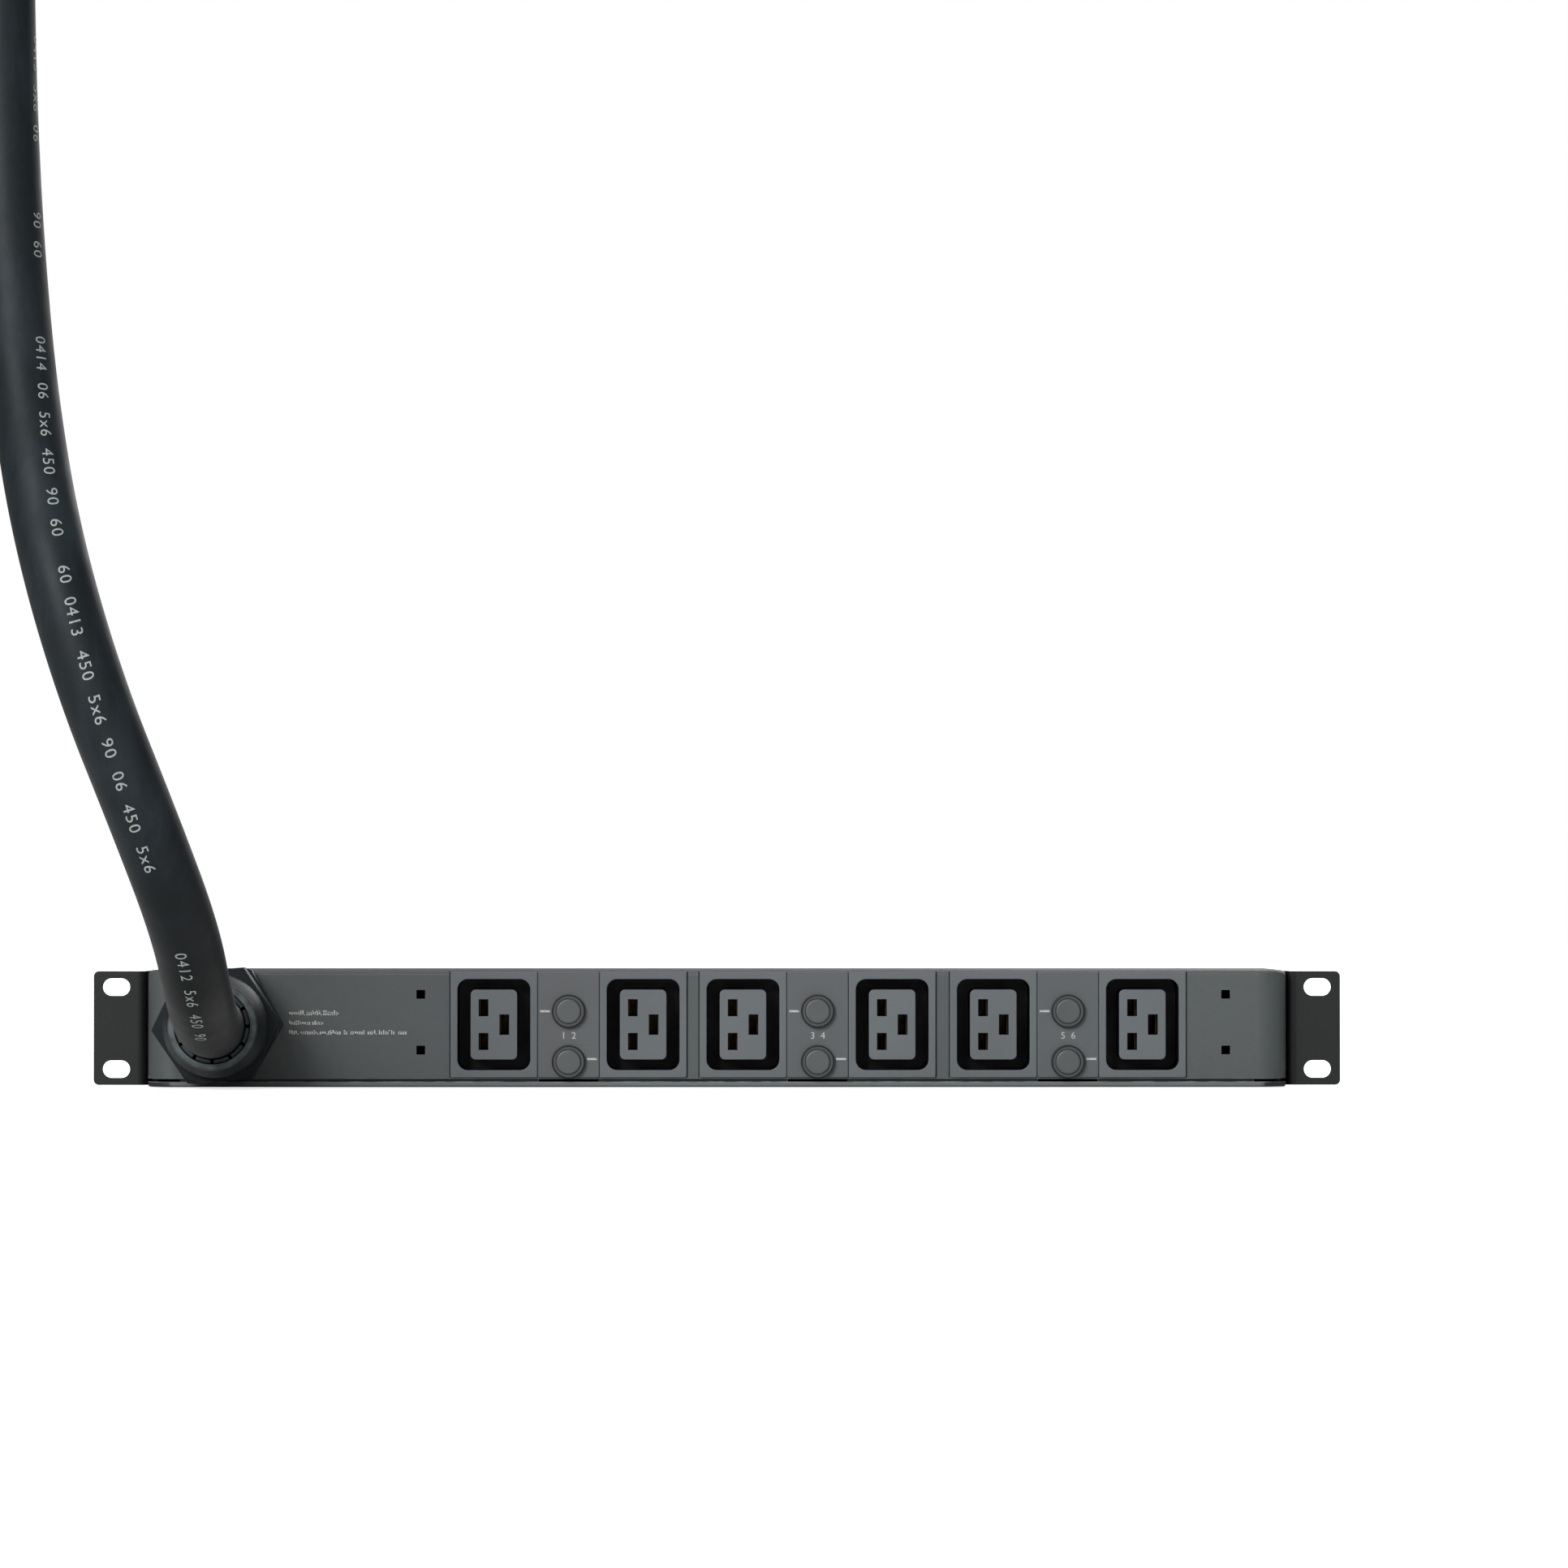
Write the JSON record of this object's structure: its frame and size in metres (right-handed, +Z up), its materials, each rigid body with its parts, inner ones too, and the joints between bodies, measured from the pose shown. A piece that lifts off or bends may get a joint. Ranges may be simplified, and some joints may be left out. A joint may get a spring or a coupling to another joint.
{
  "type": "rack power strip",
  "caption": "Slim black rack power distribution unit with open heavy-duty outlets in pairs, push-to-reset breakers, rack ears and a thick mains cord in a hex gland.",
  "frame": {"origin": "centre of the four rack slots, on the rear faces of the two rack ears", "axes": "+X to the right seen from the front, +Y to the rear, +Z up; the outlets face -Y"},
  "size_m": [0.5393, 0.2856, 0.6825],
  "materials": {
    "powder_coat": "fine-textured black powder coat on folded steel",
    "screw_steel": "blackened steel screw",
    "outlet_plastic": "dark grey moulded thermoplastic",
    "black_plastic": "black moulded plastic",
    "collar_plastic": "black threaded ring",
    "button_plastic": "dark grey moulded button",
    "zinc_steel": "zinc-plated steel",
    "gland_plastic": "black nylon",
    "seal_rubber": "black rubber",
    "cord_rubber": "black rubber cable sheath",
    "sleeve_plastic": "dark grey moulded nylon",
    "brass": "plain brass",
    "wire_black": "black wire insulation",
    "wire_blue": "blue wire insulation",
    "wire_green": "green wire insulation"
  },
  "bodies": {
    "housing": {"base_tray": "powder_coat", "top_cover": "powder_coat", "bracket_left": "powder_coat", "bracket_right": "powder_coat", "bracket_screws": "screw_steel", "cover_screws": "screw_steel", "outlet_frame_1": "outlet_plastic", "outlet_frame_2": "outlet_plastic", "outlet_frame_3": "outlet_plastic", "outlet_frame_4": "outlet_plastic", "outlet_frame_5": "outlet_plastic", "outlet_frame_6": "outlet_plastic", "outlet_core_1": "outlet_plastic", "outlet_core_2": "outlet_plastic", "outlet_core_3": "outlet_plastic", "outlet_core_4": "outlet_plastic", "outlet_core_5": "outlet_plastic", "outlet_core_6": "outlet_plastic", "outlet_contacts_1": "brass", "outlet_contacts_2": "brass", "outlet_contacts_3": "brass", "outlet_contacts_4": "brass", "outlet_contacts_5": "brass", "outlet_contacts_6": "brass", "breaker_tabs": "brass", "plug_pins": "brass", "breaker_plate_1": "outlet_plastic", "breaker_plate_2": "outlet_plastic", "breaker_plate_3": "outlet_plastic", "breaker_1": "black_plastic", "breaker_2": "black_plastic", "breaker_3": "black_plastic", "breaker_4": "black_plastic", "breaker_5": "black_plastic", "breaker_6": "black_plastic", "terminal_block": "black_plastic", "plug_shell": "black_plastic", "breaker_collars": "collar_plastic", "terminal_screws": "zinc_steel", "earth_stud": "zinc_steel", "gland_body": "gland_plastic", "gland_nut": "gland_plastic", "gland_locknut": "gland_plastic", "gland_clamp": "gland_plastic", "plug_clamp": "gland_plastic", "gland_seal": "seal_rubber", "cord_tail": "cord_rubber", "mains_cord": "cord_rubber", "plug_sleeve": "sleeve_plastic", "supply_wires": "wire_black", "line_wires": "wire_black", "load_wires": "wire_black", "neutral_wires": "wire_blue", "earth_wires": "wire_green"},
    "button_1": {"breaker_button_1": "button_plastic"},
    "button_2": {"breaker_button_2": "button_plastic"},
    "button_3": {"breaker_button_3": "button_plastic"},
    "button_4": {"breaker_button_4": "button_plastic"},
    "button_5": {"breaker_button_5": "button_plastic"},
    "button_6": {"breaker_button_6": "button_plastic"}
  },
  "joints": [
    {"name": "reset_1", "type": "slide", "parent": "housing", "child": "button_1", "axis": [0, -1, 0], "range_m": [0, 0.0035]},
    {"name": "reset_2", "type": "slide", "parent": "housing", "child": "button_2", "axis": [0, -1, 0], "range_m": [0, 0.0035]},
    {"name": "reset_3", "type": "slide", "parent": "housing", "child": "button_3", "axis": [0, -1, 0], "range_m": [0, 0.0035]},
    {"name": "reset_4", "type": "slide", "parent": "housing", "child": "button_4", "axis": [0, -1, 0], "range_m": [0, 0.0035]},
    {"name": "reset_5", "type": "slide", "parent": "housing", "child": "button_5", "axis": [0, -1, 0], "range_m": [0, 0.0035]},
    {"name": "reset_6", "type": "slide", "parent": "housing", "child": "button_6", "axis": [0, -1, 0], "range_m": [0, 0.0035]}
  ]
}
